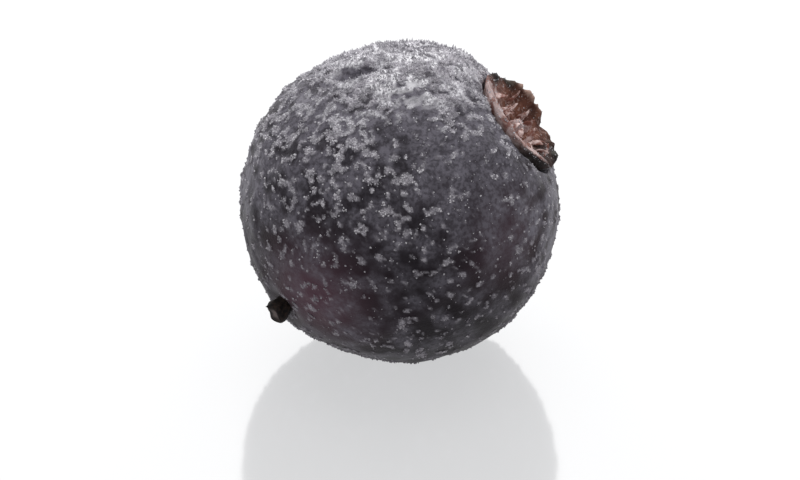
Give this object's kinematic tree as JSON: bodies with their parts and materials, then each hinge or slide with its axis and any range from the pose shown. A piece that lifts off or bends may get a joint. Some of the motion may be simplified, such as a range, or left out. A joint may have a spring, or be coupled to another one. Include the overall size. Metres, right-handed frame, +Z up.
{
  "type": "frozen blackcurrant",
  "caption": "Small round dark berry under a coat of frost, with the dried remains of its flower at one end and a stub of stalk at the other.",
  "frame": {"origin": "middle of the flat spot that the berry rests on", "axes": "+Z up from the resting surface; +Y away from the viewer of the picture, +X to the viewer's right; the flower points up to the right"},
  "size_m": [0.01, 0.01, 0.0099],
  "materials": {
    "berry_skin": "matte",
    "dried_sepal": "matte",
    "stalk": "matte"
  },
  "bodies": {
    "root": {"berry": "berry_skin", "dried_flower": "dried_sepal", "stalk_stub": "stalk"}
  },
  "joints": []
}
